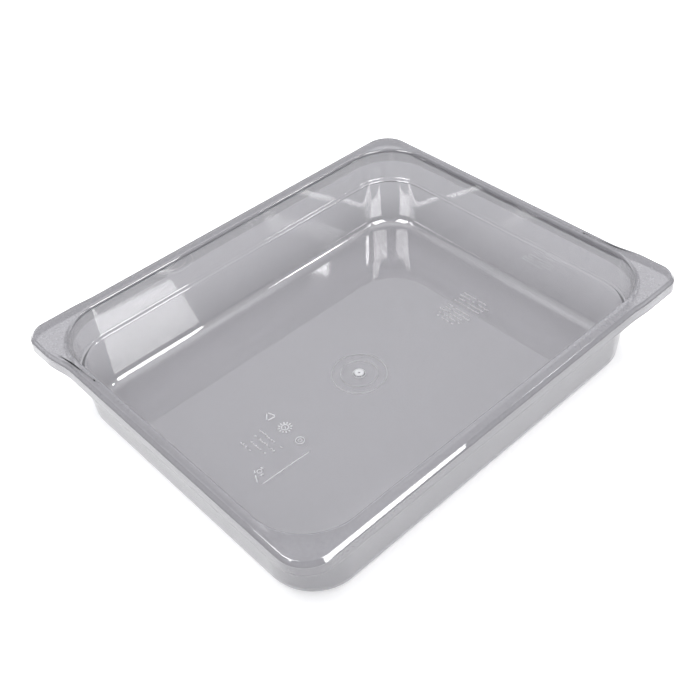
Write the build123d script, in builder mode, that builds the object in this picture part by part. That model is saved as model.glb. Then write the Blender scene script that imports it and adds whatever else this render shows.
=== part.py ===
"""Half-size clear plastic food pan, 65 mm deep, moulded in one piece.

Millimetres, +Z up. The origin is on the middle of the underside, the long way
lies along X and the short way along Y. The pan hangs or is lifted by its
down-turned rim, which stands out as a small ear at two opposite corners.
"""
import os
from math import radians, tan

from build123d import *

os.makedirs("parts", exist_ok=True)

# Overall sizes, measured across the two ears.
RIM_LENGTH = 325.0
RIM_WIDTH = 265.0
HEIGHT = 65.0

# Rim: a flat plate with a down-turned skirt.
RIM_PLATE = 2.8
SKIRT_DROP = 9.0
SKIRT_WALL = 2.5
SKIRT_DRAFT = 5.0
RIM_BEVEL = 2.4
PLAIN_CORNER_RADIUS = 20.5

# Ears: the rim is set back from its overall size except at two opposite corners.
EAR_RADIUS = 14.0
EAR_ALONG_LENGTH = 40.0
EAR_ALONG_WIDTH = 30.0
LENGTH_RAMP = 12.0
WIDTH_RAMP = 22.0
SIDE_RECESS = 1.0
END_RECESS = 3.0
RAMP_BLEND = 30.0

# Mouth: the inner edge of the rim, where the wall begins.
MOUTH_LENGTH = 302.0
MOUTH_WIDTH = 241.4
MOUTH_RADIUS = 36.0
LIP_ROUND = 1.6

# Wall: a steeper lower half steps in at a ledge that pans stack on.
WALL = 2.5
UPPER_DRAFT = 4.5
LEDGE_DEPTH = 24.0
LEDGE_STEP = 3.0
LEDGE_ROUND = 1.3
LOWER_DRAFT = 2.5

# Floor.
FLOOR = 2.5
FLOOR_FILLET = 8.0

# Sunken ring and button where the plastic enters the mould.
GATE_DISC_RADIUS = 18.7
GATE_INNER_RADIUS = 12.5
GATE_RING_DEPTH = 0.3
GATE_BUTTON_RADIUS = 4.0
GATE_BUTTON_RISE = 0.8

# Plain moulded marks on the floor: blocks of short bars, a dial, a stamp and a triangle.
MARK_RISE = 0.4
BAR_WIDTH = 1.1
BAR_PITCH = 3.3
MARK_BLOCKS = (
    ((106.0, -8.0), (17.0, 20.0, 14.0, 21.0)),
    ((89.5, -11.0), (13.0, 18.0, 16.0, 11.0)),
    ((-82.0, -3.0), (24.0, 20.0, 15.0)),
)
DIAL_AT = (-66.7, -1.1)
DIAL_RADIUS = 3.4
DIAL_RING = 1.0
DIAL_TEETH = 12
DIAL_TOOTH = 1.3
STAMP_AT = (-67.4, -16.4)
STAMP_RADIUS = 3.0
TRIANGLE_AT = (-67.2, 13.3)
TRIANGLE_RADIUS = 4.2
SEAM_AT = (-88.0, -27.0)
SEAM_LENGTH = 38.0
SEAM_WIDTH = 0.6

# Levels and spans that follow from the sizes above.
ledge_z = HEIGHT - LEDGE_DEPTH
shoulder_z = ledge_z - WALL
skirt_z = HEIGHT - SKIRT_DROP
upper_in = LEDGE_DEPTH * tan(radians(UPPER_DRAFT))
ledge_length = MOUTH_LENGTH - 2 * upper_in
ledge_width = MOUTH_WIDTH - 2 * upper_in
ledge_radius = MOUTH_RADIUS - upper_in
well_length = ledge_length - 2 * LEDGE_STEP
well_width = ledge_width - 2 * LEDGE_STEP
well_radius = ledge_radius - LEDGE_STEP
lower_in = (ledge_z - FLOOR) * tan(radians(LOWER_DRAFT))
floor_length = well_length - 2 * lower_in
floor_width = well_width - 2 * lower_in
floor_radius = well_radius - lower_in
base_in = FLOOR * tan(radians(LOWER_DRAFT))
foot_length = floor_length - 2 * base_in + 2 * WALL
foot_width = floor_width - 2 * base_in + 2 * WALL
foot_radius = floor_radius - base_in + WALL

half_x = RIM_LENGTH / 2
half_y = RIM_WIDTH / 2
end_x = half_x - END_RECESS
side_y = half_y - SIDE_RECESS
ear_x = half_x - EAR_ALONG_LENGTH
ear_y = half_y - EAR_ALONG_WIDTH
nudge = 0.01


def rim_corners():
    """Corner points of the rim outline: a plain corner, then the ramps and tip of an ear, twice."""
    half_turn = [
        (end_x, side_y),
        (-ear_x + LENGTH_RAMP, side_y),
        (-ear_x, half_y),
        (-half_x, half_y),
        (-half_x, ear_y),
        (-end_x, ear_y - WIDTH_RAMP),
    ]
    return half_turn + [(-x, -y) for x, y in half_turn]


def is_ear_tip(vertex):
    """True for the two outermost corners of the rim outline."""
    return abs(vertex.X) > half_x - nudge and abs(vertex.Y) > half_y - nudge


def is_plain_corner(vertex):
    """True for the two corners of the rim outline that have no ear."""
    return vertex.X * vertex.Y > 0 and abs(vertex.X) > end_x - nudge and abs(vertex.Y) > side_y - nudge


def is_ramp_end(vertex):
    """True where a set-back side meets the ramp up to an ear."""
    return abs(vertex.X) < ear_x + nudge or abs(vertex.Y) < ear_y + nudge


def is_button_top(face):
    """True for the flat top of the button in the middle of the floor."""
    return abs(face.center().Z - FLOOR - GATE_BUTTON_RISE) < nudge


with BuildPart() as well_core:
    # The space inside: the narrow lower half, rounded where it meets the floor.
    with BuildSketch(Plane.XY.offset(FLOOR)):
        RectangleRounded(floor_length, floor_width, floor_radius)
    extrude(amount=ledge_z - FLOOR, taper=-LOWER_DRAFT)
    fillet(faces().sort_by(Axis.Z)[0].edges(), FLOOR_FILLET)
    # The wider upper half, open at the rim.
    with BuildSketch(Plane.XY.offset(ledge_z)):
        RectangleRounded(ledge_length, ledge_width, ledge_radius)
    extrude(amount=LEDGE_DEPTH, taper=-UPPER_DRAFT)
    ledge = faces().filter_by(Plane.XY).filter_by_position(Axis.Z, ledge_z - nudge, ledge_z + nudge)
    fillet(ledge.edges(), LEDGE_ROUND)


with BuildPart() as pan:
    # Rim block, drawn at the skirt's lower edge and drawn in towards the top.
    with BuildSketch(Plane.XY.offset(skirt_z)) as rim_outline:
        with BuildLine():
            Polyline(*rim_corners(), close=True)
        make_face()
        fillet(vertices().filter_by(is_ear_tip), EAR_RADIUS)
        fillet(vertices().filter_by(is_plain_corner), PLAIN_CORNER_RADIUS)
        fillet(vertices().filter_by(is_ramp_end), RAMP_BLEND)
    extrude(amount=SKIRT_DROP, taper=SKIRT_DRAFT)
    chamfer(faces().sort_by(Axis.Z)[-1].edges(), RIM_BEVEL)

    # Groove under the rim: it leaves the skirt outside and the wall inside.
    with BuildSketch(Plane.XY.offset(skirt_z)):
        add(rim_outline.sketch)
        offset(amount=-SKIRT_WALL)
    extrude(amount=SKIRT_DROP - RIM_PLATE, taper=SKIRT_DRAFT, mode=Mode.SUBTRACT)

    # Outside of the lower wall and floor.
    with BuildSketch(Plane.XY):
        RectangleRounded(foot_length, foot_width, foot_radius)
    extrude(amount=ledge_z, taper=-LOWER_DRAFT)
    fillet(faces().sort_by(Axis.Z)[0].edges(), FLOOR_FILLET + WALL)

    # Outside of the upper wall, which overhangs the lower one as a shoulder.
    with BuildSketch(Plane.XY.offset(shoulder_z)):
        RectangleRounded(ledge_length + 2 * WALL, ledge_width + 2 * WALL, ledge_radius + WALL)
    extrude(amount=HEIGHT - RIM_PLATE / 2 - shoulder_z, taper=-UPPER_DRAFT)
    shoulder = faces().filter_by(Plane.XY).group_by(Axis.Z)[1]
    fillet(shoulder.edges(), LEDGE_ROUND)

    # The inside, and the rounded lip where it meets the rim.
    add(well_core.part, mode=Mode.SUBTRACT)
    top = faces().filter_by(Plane.XY).sort_by(Axis.Z)[-1]
    fillet(top.inner_wires().edges(), LIP_ROUND)

    # Shallow ring and raised button in the middle of the floor.
    with BuildSketch(Plane.XY.offset(FLOOR)):
        Circle(GATE_DISC_RADIUS)
        Circle(GATE_INNER_RADIUS, mode=Mode.SUBTRACT)
    extrude(amount=-GATE_RING_DEPTH, mode=Mode.SUBTRACT)
    with BuildSketch(Plane.XY.offset(FLOOR)):
        Circle(GATE_BUTTON_RADIUS)
    extrude(amount=GATE_BUTTON_RISE)
    fillet(faces().filter_by(is_button_top).edges(), GATE_BUTTON_RISE / 2)

    # Blocks of plain raised bars.
    with BuildSketch(Plane.XY.offset(FLOOR)):
        for centre, bars in MARK_BLOCKS:
            for row, length in enumerate(bars):
                with Locations((centre[0] - row * BAR_PITCH, centre[1])):
                    Rectangle(BAR_WIDTH, length)
        with Locations(SEAM_AT):
            Rectangle(SEAM_LENGTH, SEAM_WIDTH)
    extrude(amount=MARK_RISE)

    # A toothed dial, a round stamp and a triangle.
    with BuildSketch(Plane.XY.offset(FLOOR)):
        with Locations(DIAL_AT):
            Circle(DIAL_RADIUS)
            with PolarLocations(DIAL_RADIUS, DIAL_TEETH):
                Rectangle(DIAL_TOOTH, DIAL_TOOTH / 2)
            Circle(DIAL_RADIUS - DIAL_RING, mode=Mode.SUBTRACT)
        with Locations(STAMP_AT):
            Circle(STAMP_RADIUS)
            Circle(STAMP_RADIUS - SEAM_WIDTH, mode=Mode.SUBTRACT)
        with Locations(TRIANGLE_AT):
            RegularPolygon(TRIANGLE_RADIUS, 3)
            RegularPolygon(TRIANGLE_RADIUS - 2 * SEAM_WIDTH, 3, mode=Mode.SUBTRACT)
    extrude(amount=MARK_RISE)

pan.part.label = "pan"
export_step(pan.part, "parts/pan.step")
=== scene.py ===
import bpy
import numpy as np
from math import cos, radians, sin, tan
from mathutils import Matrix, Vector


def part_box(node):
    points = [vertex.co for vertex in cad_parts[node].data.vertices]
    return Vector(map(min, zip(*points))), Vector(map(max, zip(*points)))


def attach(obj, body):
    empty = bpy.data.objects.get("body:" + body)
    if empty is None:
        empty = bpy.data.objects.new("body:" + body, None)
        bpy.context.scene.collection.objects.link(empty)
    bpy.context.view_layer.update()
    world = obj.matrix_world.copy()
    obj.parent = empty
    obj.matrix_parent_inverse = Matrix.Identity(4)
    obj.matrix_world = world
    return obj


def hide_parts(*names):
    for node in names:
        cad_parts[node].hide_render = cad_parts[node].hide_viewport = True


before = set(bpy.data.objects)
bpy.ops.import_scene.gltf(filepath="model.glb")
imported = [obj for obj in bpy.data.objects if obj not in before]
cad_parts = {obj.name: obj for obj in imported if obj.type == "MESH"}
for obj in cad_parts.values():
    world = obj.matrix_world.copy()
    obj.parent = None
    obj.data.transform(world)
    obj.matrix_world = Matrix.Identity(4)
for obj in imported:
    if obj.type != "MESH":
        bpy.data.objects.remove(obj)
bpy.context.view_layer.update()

# %% [markdown]
# # A clear plastic food pan
# A half-size pan from a deli counter, moulded in one piece from clear plastic: a flat floor, a
# wall that steps in at a ledge so that pans stack, and a rim that turns down into a skirt.
# Clear plastic shows its shape only through what it reflects and bends, so the surface has to be
# smooth and its small roundings have to be real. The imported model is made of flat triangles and
# would glitter at every one, so the pan is worked out again here as one fine surface inside the
# same box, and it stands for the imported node.

low, high = (np.array(corner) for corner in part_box("pan"))

# %% [markdown]
# The pan's driving sizes, in millimetres. The rim's length, width and height come from the packed
# box; the rest are the mould maker's choices: how far the wall leans, where the ledge is, how
# large each rounding is.

# %% Sizes of the pan
MM = 0.001
rim_half_x = (high[0] - low[0]) / 2 / MM
rim_half_y = (high[1] - low[1]) / 2 / MM
top_z = high[2] / MM

mouth_half_x = 151.0
mouth_half_y = 120.7
mouth_radius = 36.0
plain_radius = 20.5
ear_radius = 14.0
ear_length = np.array([40.0, 30.0])
ear_ramp = np.array([12.0, 22.0])
ear_reach = np.array([3.0, 1.0])
rim_bevel = 2.4
bevel_round = 0.8
skirt_edge_round = 0.5
groove_round = 1.0
lip_round = 1.6

wall = 2.5
floor_top = 2.5
floor_fillet = 8.0
ledge_z = top_z - 24.0
ledge_step = 3.0
ledge_round = 1.3
upper_lean = tan(radians(4.5))
lower_lean = tan(radians(2.5))
skirt_z = top_z - 9.0
skirt_lean = tan(radians(5.0))
groove_z = top_z - 2.8
print("rim", 2 * rim_half_x, "by", 2 * rim_half_y, "mm, height", top_z, "mm")

# %% [markdown]
# ## Camera
# The pan is seen from above one corner, so that its length runs up to the right. The lens is
# a short telephoto, and the camera leans a few degrees. It comes first because everything after
# it is judged through it.

# %% Camera
camera_at = Vector((-316.3, -362.5, 471.4)) * MM
camera_turn = radians(-40.51)
camera_up = radians(42.89)
camera_lean = radians(-4.24)
back = Vector((sin(camera_turn) * cos(camera_up), -cos(camera_turn) * cos(camera_up), sin(camera_up)))
right = Vector((cos(camera_turn), sin(camera_turn), 0.0))
up = back.cross(right)
leaned_right = right * cos(camera_lean) + up * sin(camera_lean)
leaned_up = up * cos(camera_lean) - right * sin(camera_lean)

camera = bpy.data.objects.new("camera", bpy.data.cameras.new("camera"))
camera.data.lens = 51.53
camera.data.sensor_width = 36.0
camera.data.clip_start = 0.01
camera.data.clip_end = 50.0
camera_axes = Matrix((leaned_right, leaned_up, back)).transposed().to_4x4()
camera.matrix_world = Matrix.Translation(camera_at) @ camera_axes
bpy.context.collection.objects.link(camera)
bpy.context.scene.camera = camera
print("camera at", tuple(round(v, 3) for v in camera.location))

# %% [markdown]
# ## One outline for every level
# Each level of the pan is a rectangle with round corners. Its points are placed by the same
# steps at every level: so many along each side and so many round each corner. Levels then join
# point to point with no twist, and one table of levels makes the whole shell.

# %% Points round a rectangle with round corners
SIDE_POINTS = 72
CORNER_POINTS = 26


def eased(count):
    """Steps from -1 to 1 that crowd gently towards both ends: three parts even, one part sine."""
    even = np.linspace(-1, 1, count, endpoint=False)
    return 0.75 * even + 0.25 * np.sin(even * np.pi / 2)


def rounded_rectangle(half_x, half_y, radius, other_radius):
    """Points round the outline, anticlockwise from the right-hand side.

    A side runs between the two ends of its straight part; a corner is a quarter circle whose
    centre is one radius in from both sides. The first and third corners have the first radius,
    the other two the second. Gives the points and the outward directions.
    """
    points, outward = [], []
    run = eased(SIDE_POINTS)[:, None]
    turn = np.linspace(0, np.pi / 2, CORNER_POINTS, endpoint=False)[:, None]
    for quarter in range(4):
        c, s = round(cos(quarter * np.pi / 2)), round(sin(quarter * np.pi / 2))
        normal, along = np.array([c, s]), np.array([-s, c])
        reach = half_x if c else half_y
        here, last = (radius, other_radius) if quarter % 2 == 0 else (other_radius, radius)
        length = half_y if c else half_x
        first, end = last - length, length - here
        points.append(normal * reach + along * (first + (end - first) * (run + 1) / 2))
        outward.append(np.repeat(normal[None, :], SIDE_POINTS, 0))
        ray = np.cos(turn) * normal + np.sin(turn) * along
        points.append(normal * (reach - here) + along * end + here * ray)
        outward.append(ray)
    return np.concatenate(points), np.concatenate(outward)


RING = 4 * (SIDE_POINTS + CORNER_POINTS)
print("points round each level", RING)

# %% [markdown]
# ## Three families of levels
# The inside follows the mouth's outline, drawn in by some distance. The rim's edge follows its own
# outline, which stands out as a small ear at two opposite corners, where a thumb can lift it.
# The middle of the floor is round, because the plastic enters the mould there.

# %% Outlines of the mouth, the rim and the round middle
def mouth_outline(inset):
    """The mouth's outline drawn in by inset; its corner radius shrinks by as much."""
    radius = mouth_radius - inset
    points, _ = rounded_rectangle(mouth_half_x - inset, mouth_half_y - inset, radius, radius)
    return points


def smooth_step(t):
    """0 below 0, 1 above 1, and the cubic 3t^2 - 2t^3 between."""
    t = np.clip(t, 0, 1)
    return t * t * (3 - 2 * t)


def rim_outline(inset):
    """The rim's outline drawn in by inset, with an ear where x and y have opposite signs.

    A point near an ear moves out by the ear's reach times smooth_step(how far it is along the
    ramp that leads up to the ear), so that an ear's tip keeps its round corner.
    """
    half = np.array([rim_half_x, rim_half_y])
    half_x, half_y = half - ear_reach - inset
    points, outward = rounded_rectangle(half_x, half_y, plain_radius - inset, ear_radius - inset)
    past = (np.abs(points) - (half - ear_length - ear_ramp)) / ear_ramp
    on_short_side = np.abs(outward[:, 0]) > 0.999
    along = np.where(on_short_side, past[:, 1], past[:, 0])
    towards_ear = points[:, 0] * points[:, 1] < 0
    standing = np.where(towards_ear, smooth_step(along), 0.0)[:, None]
    return points + np.sign(points) * ear_reach * standing


MIDDLE_INSET = 16.0
middle_points = mouth_outline(MIDDLE_INSET)
floor_directions = middle_points / np.linalg.norm(middle_points, axis=1)[:, None]


def round_outline(radius):
    """A circle whose points lie in the same directions from the middle as the floor's."""
    return floor_directions * radius


# %% [markdown]
# ## The cross-section
# Cut through the wall, the pan is one closed line: along the floor, up the inside, over the
# lip, across the rim, down and back up round the skirt, and down the outside. A corner of that
# line is never sharp on a moulded part, so each one is given a radius and becomes a short arc.

# %% A line with rounded corners
def rounded_line(corners, arc_steps):
    """Points along a line of (inset, height, radius) corners.

    Each corner is replaced by an arc that touches both of its sides; the arc starts and ends
    radius * tan(half the turn) away from the corner.
    """
    spots = np.array([c[:2] for c in corners], float)
    line = [spots[0]]
    for before, at, after, radius in zip(spots, spots[1:], spots[2:], [c[2] for c in corners[1:]]):
        back_way = (before - at) / np.linalg.norm(before - at)
        on_way = (after - at) / np.linalg.norm(after - at)
        half_turn = (np.pi - np.arccos(np.clip(back_way @ on_way, -1, 1))) / 2
        reach = radius * np.tan(half_turn)
        middle = (back_way + on_way) / np.linalg.norm(back_way + on_way)
        centre = at + middle * radius / np.cos(half_turn)
        start = at + back_way * reach - centre
        end = at + on_way * reach - centre
        t = np.linspace(0, 1, arc_steps)[:, None]
        arc = np.sin((1 - t) * 2 * half_turn) * start + np.sin(t * 2 * half_turn) * end
        line.extend(centre + arc / np.sin(2 * half_turn))
    line.append(spots[-1])
    return np.array(line)


# %% [markdown]
# The section is now written with the pan's own sizes, as three lines: the inside, the rim and
# the outside. An inset is measured in from the mouth's edge on the inside and the outside, and
# from the rim's edge on the rim. One line would do if the mouth and the rim had one outline, but
# only the rim has ears.

# %% Levels from the inside floor to the underside
upper_in = (top_z - ledge_z) * upper_lean
ledge_in = upper_in + ledge_step
floor_in = ledge_in + (ledge_z - floor_top) * lower_lean
shoulder_z = ledge_z - wall
shoulder_out = upper_in - wall
foot_in = floor_in + floor_top * lower_lean - wall
shoulder_in = foot_in - shoulder_z * lower_lean

neck_out = shoulder_out - (groove_z - shoulder_z) * upper_lean
bevel_in = (top_z - rim_bevel - skirt_z) * skirt_lean
groove_in = wall + (groove_z - skirt_z) * skirt_lean

WALL_ARC = 10
RIM_ARC = 9
FLOOR_RUN = 10.0
LIP_RUN = 3.0
PLATE_RUN = 5.0
GROOVE_RUN = 5.2
NECK_RUN = 1.4
FOOT_RUN = 13.0
inside = rounded_line([
    (floor_in + FLOOR_RUN, floor_top, 0),
    (floor_in, floor_top, floor_fillet),
    (ledge_in, ledge_z, ledge_round),
    (upper_in, ledge_z, ledge_round),
    (0.0, top_z, lip_round),
    (-LIP_RUN, top_z, 0),
], WALL_ARC)
rim = rounded_line([
    (PLATE_RUN, top_z, 0),
    (bevel_in + rim_bevel, top_z, bevel_round),
    (bevel_in, top_z - rim_bevel, bevel_round),
    (0.0, skirt_z, skirt_edge_round),
    (wall, skirt_z, skirt_edge_round),
    (groove_in, groove_z, groove_round),
    (GROOVE_RUN, groove_z, 0),
], RIM_ARC)
outside = rounded_line([
    (neck_out - NECK_RUN, groove_z, 0),
    (neck_out, groove_z, groove_round),
    (shoulder_out, shoulder_z, ledge_round),
    (shoulder_in, shoulder_z, ledge_round),
    (foot_in, 0.0, floor_fillet + wall),
    (foot_in + FOOT_RUN, 0.0, 0),
], WALL_ARC)
print("levels inside, rim, outside:", len(inside), len(rim), len(outside))

# %% [markdown]
# ## The whole shell
# The levels are stacked in the order a finger would follow: from the button in the middle of
# the floor, out and up the inside, over the rim, and down the outside to the middle of the
# underside. Flat stretches between two families need only a few levels; a rounding needs many.
# The row where the bevel ends is noted, because the duller outside finish, with its painted light and
# shade, starts there.

# %% Stack of levels
BUTTON_RISE = 0.8
RING_DEPTH = 0.3
BUTTON_TOP = floor_top + BUTTON_RISE
RING_FLOOR = floor_top - RING_DEPTH
middle_circles = [
    (0.5, BUTTON_TOP - 0.25), (1.0, BUTTON_TOP - 0.2), (1.4, BUTTON_TOP - 0.03), (1.8, BUTTON_TOP),
    (3.3, BUTTON_TOP), (3.7, BUTTON_TOP - 0.1), (3.95, BUTTON_TOP - 0.35), (4.0, floor_top + 0.12),
    (4.12, floor_top + 0.02), (4.4, floor_top), (7.0, floor_top), (12.1, floor_top),
    (12.4, floor_top - 0.04), (12.6, RING_FLOOR + 0.04), (12.9, RING_FLOOR), (15.5, RING_FLOOR),
    (18.3, RING_FLOOR), (18.6, RING_FLOOR + 0.04), (18.8, floor_top - 0.04), (19.1, floor_top),
    (24.0, floor_top), (40.0, floor_top),
]
BUTTON_DIMPLE = 0.27
FLOOR_SHARES = (0.25, 0.5, 0.75, 0.95)
UNDERSIDE_SHARES = (0.05, 0.3, 0.6, 1.0)
UNDERSIDE_CIRCLE = 30.0
UNDERSIDE_LAST_CIRCLE = 8.0


def at_height(outline, height):
    """An outline's points with their height."""
    return np.column_stack([outline, np.full(len(outline), height)])


def between(first, last, shares):
    """Levels that pass from one to another, point by point, by the given shares."""
    return [(1 - share) * first + share * last for share in shares]


levels = [at_height(round_outline(radius), height) for radius, height in middle_circles]
inside_levels = [at_height(mouth_outline(inset), height) for inset, height in inside]
levels += between(levels[-1], inside_levels[0], FLOOR_SHARES) + inside_levels
outside_from = len(levels) + 2 * RIM_ARC
levels += [at_height(rim_outline(inset), height) for inset, height in rim]
outside_levels = [at_height(mouth_outline(inset), height) for inset, height in outside]
underside_middle = at_height(round_outline(UNDERSIDE_CIRCLE), 0.0)
levels += outside_levels + between(outside_levels[-1], underside_middle, UNDERSIDE_SHARES)
levels.append(at_height(round_outline(UNDERSIDE_LAST_CIRCLE), 0.0))
print("levels in all", len(levels), "points", len(levels) * RING)

# %% [markdown]
# One function turns the stack into a closed mesh, with one point at each end. Boxes could be cut
# and rounded instead, but a mesh made from rows of levels has even faces everywhere, so a
# reflection runs over it without a break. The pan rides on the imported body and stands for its
# node.

# %% Mesh from a stack of levels
def stacked_mesh(name, levels, first_pole, last_pole):
    """A closed skin over levels of equally many points, with one point closing each end.

    Face (i, j) joins point j and j + 1 of level i to the same two of level i + 1.
    """
    grid = np.stack(levels)
    rows, columns, _ = grid.shape
    spots = np.concatenate([grid.reshape(-1, 3), [first_pole, last_pole]]) * MM
    number = np.arange(rows * columns).reshape(rows, columns)
    beside = np.roll(number, -1, 1)
    quads = np.stack([number[:-1], number[1:], beside[1:], beside[:-1]], -1).reshape(-1, 4)
    first = np.column_stack([np.full(columns, rows * columns), number[0], beside[0]])
    last = np.column_stack([np.full(columns, rows * columns + 1), beside[-1], number[-1]])
    mesh = bpy.data.meshes.new(name)
    mesh.from_pydata(spots.tolist(), [], quads.tolist() + first.tolist() + last.tolist())
    mesh.shade_smooth()
    return mesh


def piece(name, mesh):
    """A new object holding mesh, linked to the scene."""
    made = bpy.data.objects.new(name, mesh)
    bpy.context.collection.objects.link(made)
    return made


shell_mesh = stacked_mesh("pan_shell", levels, (0, 0, BUTTON_TOP - BUTTON_DIMPLE), (0, 0, 0))
shell = piece("pan_shell", shell_mesh)
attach(shell, "root")
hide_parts("pan")
print("shell faces", len(shell.data.polygons))

# %% [markdown]
# ## Raised marks on the floor
# The mould leaves small raised marks: rows of short strokes, a dial that tells when it was made,
# rings, a triangle and a seam line. The pale rings round and on the button are painted highlights.
# Every one is a low rounded ridge. One function bends a grid into a closed cushion, and each stroke,
# tooth or side is that cushion, stretched, turned and moved; ridges that run in a circle are a small
# tube laid on the floor. Cutting them into the shell would need a far finer shell everywhere.

# %% Cushions and rings
MARK_RISE = 0.35
SUNK = 0.05
BELLY = 0.02
CUSHION_STEPS = 7


def cushions(centres, length, width, turn):
    """Closed low cushions standing on the floor, all in two arrays: points and faces.

    Length, width and turn are one number for all the cushions or one number for each.
    Over a square of u and v from -1 to 1, the top's height is rise * (1 - u^4) * (1 - v^4), and
    the bottom sags by belly * (1 - u^4) * (1 - v^4) from just under the floor's surface.
    """
    steps = np.sin(np.linspace(-1, 1, CUSHION_STEPS) * np.pi / 2)
    u, v = (axis.ravel() for axis in np.meshgrid(steps, steps, indexing="ij"))
    dome = (1 - u**4) * (1 - v**4)
    flat = np.column_stack([np.concatenate([u, u]), np.concatenate([v, v])])
    height = np.concatenate([(MARK_RISE + SUNK) * dome, -BELLY * dome]) + floor_top - SUNK
    number = np.arange(CUSHION_STEPS**2).reshape(CUSHION_STEPS, CUSHION_STEPS)
    top = np.stack([number[:-1, :-1], number[1:, :-1], number[1:, 1:], number[:-1, 1:]], -1).reshape(-1, 4)
    faces = np.concatenate([top, top[:, ::-1] + CUSHION_STEPS**2])
    centres = np.asarray(centres, float)
    length, width, turn = (np.broadcast_to(size, len(centres)) for size in (length, width, turn))
    along = np.stack([np.cos(turn), np.sin(turn)], -1)[:, None]
    across = np.stack([-np.sin(turn), np.cos(turn)], -1)[:, None]
    lengthwise = along * (flat[:, :1] * length[:, None, None] / 2)
    crosswise = across * (flat[:, 1:] * width[:, None, None] / 2)
    spots = centres[:, None] + lengthwise + crosswise
    spots = np.concatenate([spots, np.broadcast_to(height[:, None], spots.shape[:2] + (1,))], -1)
    offsets = np.arange(len(centres))[:, None, None] * len(flat)
    return spots.reshape(-1, 3), (faces[None] + offsets).reshape(-1, 4)


def ring_ridge(centre, radius, width, base=floor_top, around=48, across=8):
    """A low tube bent into a ring: each point is the centre plus a circle of the given radius plus
    a flattened circle of half the width, which rises from the base as high as the other marks."""
    turns = np.linspace(0, 2 * np.pi, around, endpoint=False)
    rolls = np.linspace(0, 2 * np.pi, across, endpoint=False)
    turn, roll = np.meshgrid(turns, rolls, indexing="ij")
    reach = radius + width / 2 * np.cos(roll)
    height = base + np.sin(roll) * np.where(np.sin(roll) > 0, MARK_RISE, SUNK)
    x = centre[0] + reach * np.cos(turn)
    y = centre[1] + reach * np.sin(turn)
    spots = np.stack([x, y, height], -1).reshape(-1, 3)
    number = np.arange(around * across).reshape(around, across)
    ahead, above = np.roll(number, -1, 0), np.roll(number, -1, 1)
    faces = np.stack([number, ahead, np.roll(ahead, -1, 1), above], -1).reshape(-1, 4)
    return spots, faces


def joined(parts):
    """Several (points, faces) pairs as one pair, with each part's faces renumbered."""
    starts = np.cumsum([0] + [len(spots) for spots, _ in parts[:-1]])
    spots = np.concatenate([part[0] for part in parts])
    faces = np.concatenate([part[1] + start for part, start in zip(parts, starts)])
    return spots, faces


def mark(name, parts):
    """A piece of raised marks that rides on the pan."""
    spots, faces = joined(parts)
    mesh = bpy.data.meshes.new(name)
    mesh.from_pydata((spots * MM).tolist(), [], faces.tolist())
    mesh.shade_smooth()
    made = piece(name, mesh)
    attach(made, "root")
    print(name, "faces", len(faces))
    return made


# %% [markdown]
# The long blocks of marks are lettering on a real pan. Here they spell nothing: they are rows of
# short strokes, and chance places and turns each one. The chance is seeded, so every run draws
# the same strokes.

# %% Rows of strokes
chance = np.random.default_rng(7)
GAP_SHARE = 0.14
ACROSS_SHARE = 0.45
PAIR_SHIFT = 0.42


def stroke_rows(rows, spacing=1.9, length=1.25, width=0.5):
    """Rows of short strokes that run across the pan, two to each step with some left out.

    Each row is (x, first y, last y). Chance says which strokes lie along the pan and which
    across it, and turns each a little from there.
    """
    centres, turns, lengths = [], [], []
    for x, first_y, last_y in rows:
        steps = np.arange(first_y, last_y, -spacing)
        steps = steps[chance.random(len(steps)) > GAP_SHARE]
        for shift in (-PAIR_SHIFT, PAIR_SHIFT):
            count = len(steps)
            centres.append(np.column_stack([x + chance.uniform(-0.3, 0.3, count), steps + shift]))
            lying = np.where(chance.random(count) > ACROSS_SHARE, 0.0, np.pi / 2)
            turns.append(lying + chance.uniform(-0.5, 0.5, count))
            lengths.append(length * chance.uniform(0.7, 1.25, count))
    turns, lengths = np.concatenate(turns), np.concatenate(lengths)
    return cushions(np.concatenate(centres), lengths, width, turns)


far_rows = [(110.5, 4, -16), (107.0, 5, -20), (103.5, 3, -19), (100.0, 4, -18)]
far_rows += [(93.5, 5, -15), (90.0, 4, -17), (86.5, 6, -14), (83.0, 3, -16), (79.5, 2, -12)]
near_rows = [(-79.5, 8, -14), (-84.5, 9, -11), (-89.5, 7, -9), (-94.5, 9, -2)]
strokes = mark("floor_strokes", [stroke_rows(far_rows), stroke_rows(near_rows, spacing=2.2, length=1.5)])

# %% [markdown]
# The other marks are made of the same two shapes. The dial is a ring with teeth and a pointer,
# and a triangle is three cushions, one for each side. Thin pale rings lie along the sunk ring's edges
# and round the button's foot, and a wide one lies on the button's top: they are painted highlights
# on those edges and on the button's dome.

# %% Dial, rings, triangle and seam
dial_at = np.array([-66.7, -1.1])
stamp_at = np.array([-67.4, -16.4])
triangle_at = np.array([-67.2, 13.3])
token_at = np.array([-101.5, -17.5])
dash_at = np.array([-106.5, -20.5])
seam_at = np.array([-88.0, -27.1])
middle = np.zeros(2)

DIAL_TEETH = 12
teeth = np.arange(DIAL_TEETH) * 2 * np.pi / DIAL_TEETH
teeth_at = np.column_stack([np.cos(teeth), np.sin(teeth)])
sides = radians(20) + np.arange(3) * 2 * np.pi / 3
sides_at = np.column_stack([np.cos(sides), np.sin(sides)])
side_turns = sides + np.pi / 2

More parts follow.
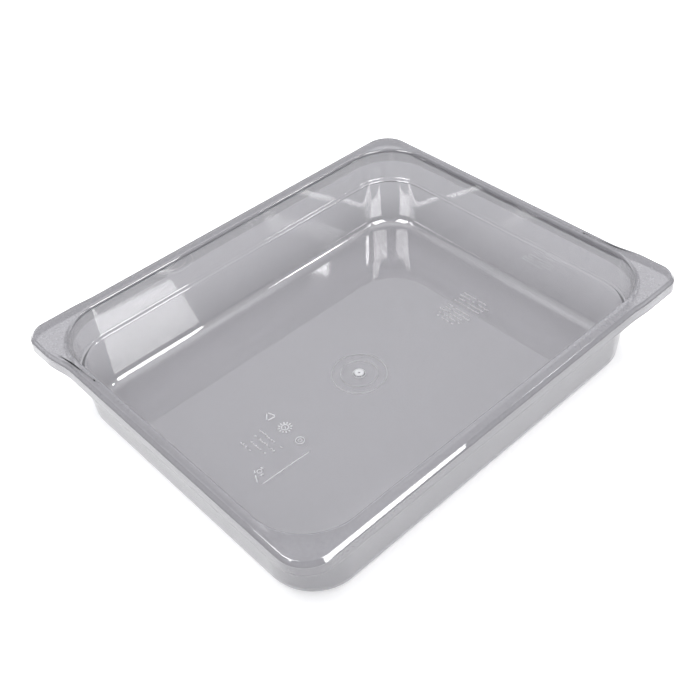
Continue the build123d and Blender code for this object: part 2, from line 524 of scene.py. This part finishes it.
dial = mark("floor_dial", [
    cushions(dial_at + 4.0 * teeth_at, length=1.7, width=0.9, turn=teeth),
    ring_ridge(dial_at, radius=2.3, width=0.8),
    cushions([dial_at], length=2.4, width=0.7, turn=radians(60)),
])
badges = mark("floor_badges", [
    ring_ridge(stamp_at, radius=2.9, width=0.6),
    ring_ridge(stamp_at, radius=1.3, width=0.4),
    cushions(triangle_at + 2.1 * sides_at, length=5.4, width=0.8, turn=side_turns),
    ring_ridge(token_at, radius=1.5, width=0.6),
    cushions(token_at + 3.0 * sides_at, length=2.2, width=0.9, turn=side_turns),
    cushions([dash_at], length=6.0, width=0.8, turn=radians(62)),
])
# Pale ridges that stand in for highlights on the sunk ring's edges, the button's foot and its dome:
# painted highlights.
gate_highlights = mark("floor_gate_highlights", [
    ring_ridge(middle, radius=18.7, width=0.3),
    ring_ridge(middle, radius=12.5, width=0.25),
    ring_ridge(middle, radius=4.3, width=0.5),
    ring_ridge(middle, radius=2.0, width=3.0, base=BUTTON_TOP),
])
seam = mark("floor_seam", [
    cushions([seam_at], length=38.0, width=0.55, turn=radians(-2)),
])

# %% [markdown]
# ## Shader helper
# A finish is a sum of small effects, and written as arithmetic it reads like one. The class
# below wraps a socket, so that adding or multiplying two of them adds a Math node, and one method
# places any other node.

# %% Sockets that take arithmetic
class Finish:
    """A material and the one method that adds nodes to it."""

    def __init__(self, name):
        self.material = bpy.data.materials.new(name)
        self.material.use_nodes = True
        self.tree = self.material.node_tree
        self.tree.nodes.clear()

    def node(self, kind, settings=None, out=0, **inputs):
        """Adds a node, applies its settings, then fills or links the sockets named in inputs.

        An input is named by its label, with _ for a space, or by _ and its number. Out is the
        number of the output that is handed back.
        """
        made = self.tree.nodes.new("ShaderNode" + kind)
        for key, value in (settings or {}).items():
            if key == "stops":
                ramp = made.color_ramp
                while len(ramp.elements) < len(value):
                    ramp.elements.new(1.0)
                for stop, (place, shade) in zip(ramp.elements, value):
                    stop.position = place
                    stop.color = (shade, shade, shade, 1.0)
            else:
                setattr(made, key, value)
        for key, value in inputs.items():
            which = int(key[1:]) if key[1:].isdigit() else key.replace("_", " ")
            socket = made.inputs[which]
            if isinstance(value, Value):
                self.tree.links.new(value.socket, socket)
            else:
                socket.default_value = value
        return Value(self, made.outputs[out]) if made.outputs else None


class Value:
    """One output socket; arithmetic on it adds Math nodes."""

    def __init__(self, finish, socket):
        self.finish, self.socket = finish, socket

    def math(self, operation, first, second):
        """A Math node; each side is a Value or a plain number."""
        return self.finish.node("Math", {"operation": operation}, _0=first, _1=second)

    def __add__(self, other):
        return self.math("ADD", self, other)

    def __mul__(self, other):
        return self.math("MULTIPLY", self, other)

    __radd__ = __add__
    __rmul__ = __mul__


# %% [markdown]
# ## Clear plastic, slightly smoked
# The shader mixes two surfaces: one that only bends and tints the light, and one of plain scattered
# grey, which makes the plastic a little milky. The share of the grey one is the haze. The plastic is
# the same throughout, but the floor, the walls, the rim and the skirt each get their own tint, grey
# and haze to even out how bright each looks: that is painted light and shade. The floor's paler tint
# makes up for the shade the pan throws on the table under it. The inside keeps a glossy skin; the
# outside is a second finish with little skin, and its extra haze and darker skirt are more painted
# light and shade. Moulded plastic is never optically flat: a slow ripple bends the reflections, a
# fine grain breaks up the floor, and hair scratches run along the pan.

# %% Clear plastic
PLASTIC_INDEX = 1.585
FLOOR_FADE_TOP = 0.0045
FLOOR_FADE_END = 0.0030
# Haze, tint and milk per part are painted light and shade: the floor's paler tint makes up for the shade
# under the pan, the others even out how bright walls, rim and skirt look.
HAZE_ON_FLOOR = 0.45
HAZE_ON_RIM = 0.55
WALL_TINT = (0.43, 0.425, 0.445, 1.0)
FLOOR_TINT = (0.88, 0.875, 0.895, 1.0)
PLATE_TINT = (0.56, 0.555, 0.575, 1.0)
SKIRT_TINT = (0.52, 0.515, 0.535, 1.0)
WALL_MILK = (0.42, 0.415, 0.435, 1.0)
FLAT_MILK = (0.26, 0.255, 0.275, 1.0)
SKIRT_MILK = (0.27, 0.265, 0.285, 1.0)
PLATE_MILK = (0.30, 0.295, 0.315, 1.0)


def clear_plastic(name, polish, wall_haze, rim_from, rim_to, rim_tint, rim_milk):
    """Clear plastic whose tint, milk and haze change by height, as painted light and shade.

    Polish is the weight of the glossy skin. The floor's values fade in below the walls' foot,
    and the rim's between the heights rim_from and rim_to, in metres.
    """
    finish = Finish(name)
    place = finish.node("TexCoord", out=3)
    up = finish.node("SeparateXYZ", out=2, Vector=place)
    smooth = {"interpolation_type": "SMOOTHSTEP"}
    on_floor = finish.node(
        "MapRange", smooth, Value=up, From_Min=FLOOR_FADE_TOP, From_Max=FLOOR_FADE_END,
        To_Min=0.0, To_Max=1.0,
    )
    on_rim = finish.node(
        "MapRange", smooth, Value=up, From_Min=rim_from, From_Max=rim_to, To_Min=0.0, To_Max=1.0,
    )
    grain = finish.node("TexNoise", Vector=place, Scale=500.0, Detail=2.0, Roughness=0.6)
    ripple = finish.node("TexNoise", Vector=place, Scale=20.0, Detail=1.0, Roughness=0.4)
    turned = finish.node("Mapping", Vector=place, Rotation=(0.0, 0.0, 0.6), Scale=(6.0, 260.0, 60.0))
    scratch_field = finish.node("TexNoise", Vector=turned, Scale=3.0, Detail=2.0, Roughness=0.7)
    scratches = finish.node("ValToRGB", {"stops": [(0.62, 0.0), (0.7, 1.0)]}, Fac=scratch_field)
    blend = {"data_type": "RGBA"}
    # Tint and milk follow the height masks: painted light and shade, not a change in the plastic.
    tint = finish.node("Mix", blend, out=2, Factor=on_floor, _6=WALL_TINT, _7=FLOOR_TINT)
    tint = finish.node("Mix", blend, out=2, Factor=on_rim, _6=tint, _7=rim_tint)
    milk = finish.node("Mix", blend, out=2, Factor=on_floor, _6=WALL_MILK, _7=FLAT_MILK)
    milk = finish.node("Mix", blend, out=2, Factor=on_rim, _6=milk, _7=rim_milk)
    milk = finish.node("VectorMath", {"operation": "SCALE"}, _0=milk, Scale=0.9 + 0.2 * grain)
    roughness = 0.02 + 0.03 * scratches + on_floor * (0.01 + 0.05 * grain)
    height = 0.01 * ripple + on_floor * 0.03 * grain
    bump = finish.node("Bump", Height=height, Strength=0.3, Distance=0.001)
    skin = {
        "Roughness": roughness, "Normal": bump, "IOR": PLASTIC_INDEX,
        "Coat_Weight": polish, "Coat_Roughness": 0.02, "Coat_IOR": 1.6,
    }
    see_through = finish.node("BsdfPrincipled", Base_Color=tint, Transmission_Weight=1.0, **skin)
    haze = finish.node("BsdfPrincipled", Base_Color=milk, **skin)
    # The haze by height is painted light and shade as well.
    haziness = wall_haze + (HAZE_ON_FLOOR - wall_haze) * on_floor + (HAZE_ON_RIM - wall_haze) * on_rim
    surface = finish.node("MixShader", _0=haziness, _1=see_through, _2=haze)
    finish.node("OutputMaterial", Surface=surface)
    return finish.material


polished = clear_plastic(
    "clear_plastic", polish=1.0, wall_haze=0.2, rim_from=0.0600, rim_to=0.0635,
    rim_tint=PLATE_TINT, rim_milk=PLATE_MILK,
)
# The outside: a duller skin, and more haze and a darker skirt tint that are painted light and shade.
dull_shaded = clear_plastic(
    "dull_shaded_plastic", polish=0.2, wall_haze=0.35, rim_from=0.0540, rim_to=0.0560,
    rim_tint=SKIRT_TINT, rim_milk=SKIRT_MILK,
)
shell.data.materials.append(polished)
shell.data.materials.append(dull_shaded)
# This duller finish with painted light and shade covers the faces from the bevel's end down the outside
# and across the underside.
dull_shaded_faces = np.zeros(len(shell.data.polygons), int)
dull_shaded_faces[outside_from * RING:] = 1
dull_shaded_faces[-2 * RING:-RING] = 0
shell.data.polygons.foreach_set("material_index", dull_shaded_faces)
print("shell finishes", polished.name, dull_shaded.name, "worn faces", dull_shaded_faces.sum())

# %% [markdown]
# The raised marks are the same plastic with a rougher, paler face. The roughness is their round,
# unpolished tops; the paler colour is a painted highlight for the light those tops catch, because a
# glossy face would lose them: each is too small to mirror a whole lamp.

# %% Raised marks
def frosted_highlight_plastic():
    """The same plastic with a rougher, slightly speckled face and a paler colour that is a painted
    highlight.
    """
    finish = Finish("frosted_highlight_plastic")
    place = finish.node("TexCoord", out=3)
    speck = finish.node("TexNoise", Vector=place, Scale=1500.0, Detail=2.0)
    # The pale colour is a painted highlight.
    colour = finish.node(
        "Mix", {"data_type": "RGBA"}, out=2, Factor=speck,
        _6=(0.62, 0.62, 0.64, 1.0), _7=(0.72, 0.72, 0.74, 1.0),
    )
    surface = finish.node(
        "BsdfPrincipled", Base_Color=colour, Roughness=0.25 + 0.2 * speck,
        IOR=PLASTIC_INDEX, Transmission_Weight=0.3,
    )
    finish.node("OutputMaterial", Surface=surface)
    return finish.material


frosted_highlight = frosted_highlight_plastic()
for raised in (strokes, dial, badges, gate_highlights, seam):
    raised.data.materials.append(frosted_highlight)
print("marks finish", frosted_highlight.name)

# %% [markdown]
# ## Floor and light
# The pan stands on a plain pale table that glows a little by itself, as a light table does,
# because the ground under a clear pan must not go dark. Lamps alone could do it, but the pan
# would then throw a shadow that shows through its own floor.

# %% Pale floor
TABLE_GLOW = 0.4


def pale_floor():
    """A dull, nearly white surface with a slow mottle and a little light of its own."""
    finish = Finish("pale_floor")
    place = finish.node("TexCoord", out=3)
    mottle = finish.node("TexNoise", Vector=place, Scale=3.0, Detail=2.0)
    colour = finish.node(
        "Mix", {"data_type": "RGBA"}, out=2, Factor=mottle,
        _6=(0.88, 0.88, 0.88, 1.0), _7=(0.90, 0.90, 0.90, 1.0),
    )
    surface = finish.node(
        "BsdfPrincipled", Base_Color=colour, Roughness=0.8,
        Emission_Color=colour, Emission_Strength=TABLE_GLOW,
    )
    finish.node("OutputMaterial", Surface=surface)
    return finish.material


FLOOR_HALF = 6.0
FLOOR_GAP = 0.0004
floor_mesh = bpy.data.meshes.new("studio_floor")
floor_corners = np.array([(-1, -1), (1, -1), (1, 1), (-1, 1)]) * FLOOR_HALF
floor_points = np.column_stack([floor_corners, np.full(4, -FLOOR_GAP)])
floor_mesh.from_pydata(floor_points.tolist(), [], [(0, 1, 2, 3)])
floor_mesh.materials.append(pale_floor())
floor = piece("studio_floor", floor_mesh)
print("table", 2 * FLOOR_HALF, "m wide")

# %% [markdown]
# A wide soft light hangs above. What draws a clear object is the lamps it mirrors: one panel in
# front, one at the left and a small one at the right show as bright patches on the walls and as
# lines along every rounding. They could light the table too, but then the edges of their
# shadows would show through the plastic, so they are seen only in reflections, and the overhead
# light is kept out of them.

# %% Soft lights
def panel(name, place, width, height, power):
    """A soft rectangular light at a place in metres, square on to the middle of the pan."""
    lamp = bpy.data.lights.new(name, "AREA")
    lamp.shape = "RECTANGLE"
    lamp.size = width
    lamp.size_y = height
    lamp.energy = power
    made = bpy.data.objects.new(name, lamp)
    turn = Vector(place).to_track_quat("Z", "Y").to_matrix().to_4x4()
    made.matrix_world = Matrix.Translation(Vector(place)) @ turn
    made.visible_camera = False
    bpy.context.collection.objects.link(made)
    return made


def mirrored_panel(name, place, width, height, power):
    """A panel that shows in polished faces but throws no light on dull ones or through clear ones."""
    made = panel(name, place, width, height, power)
    made.visible_diffuse = False
    made.visible_transmission = False


overhead = panel("overhead", (0.0, 0.02, 2.2), width=2.4, height=2.4, power=75)
overhead.visible_glossy = False
mirrored_panel("front_panel", (0.052, -0.460, 0.455), width=0.385, height=0.40, power=4.4)
mirrored_panel("left_panel", (-0.442, 0.032, 0.455), width=0.335, height=0.40, power=3.9)
mirrored_panel("right_bar", (0.493, -0.383, 0.605), width=0.13, height=0.11, power=0.8)

ROOM_TINT = (0.96, 0.97, 1.0, 1.0)
ROOM_GLOW = 0.60
world = bpy.data.worlds.new("soft_room")
world.use_nodes = True
background = world.node_tree.nodes["Background"]
background.inputs["Color"].default_value = ROOM_TINT
background.inputs["Strength"].default_value = ROOM_GLOW
bpy.context.scene.world = world
bpy.context.scene.view_settings.view_transform = "Standard"
print("lights", sorted(lamp.name for lamp in bpy.data.lights), "room glow", ROOM_GLOW)

# %% [markdown]
# ## Last step
# The finished look has to stay inside the imported box. The last cell only brings the scene up to date.

# %% Scene up to date
bpy.context.view_layer.update()
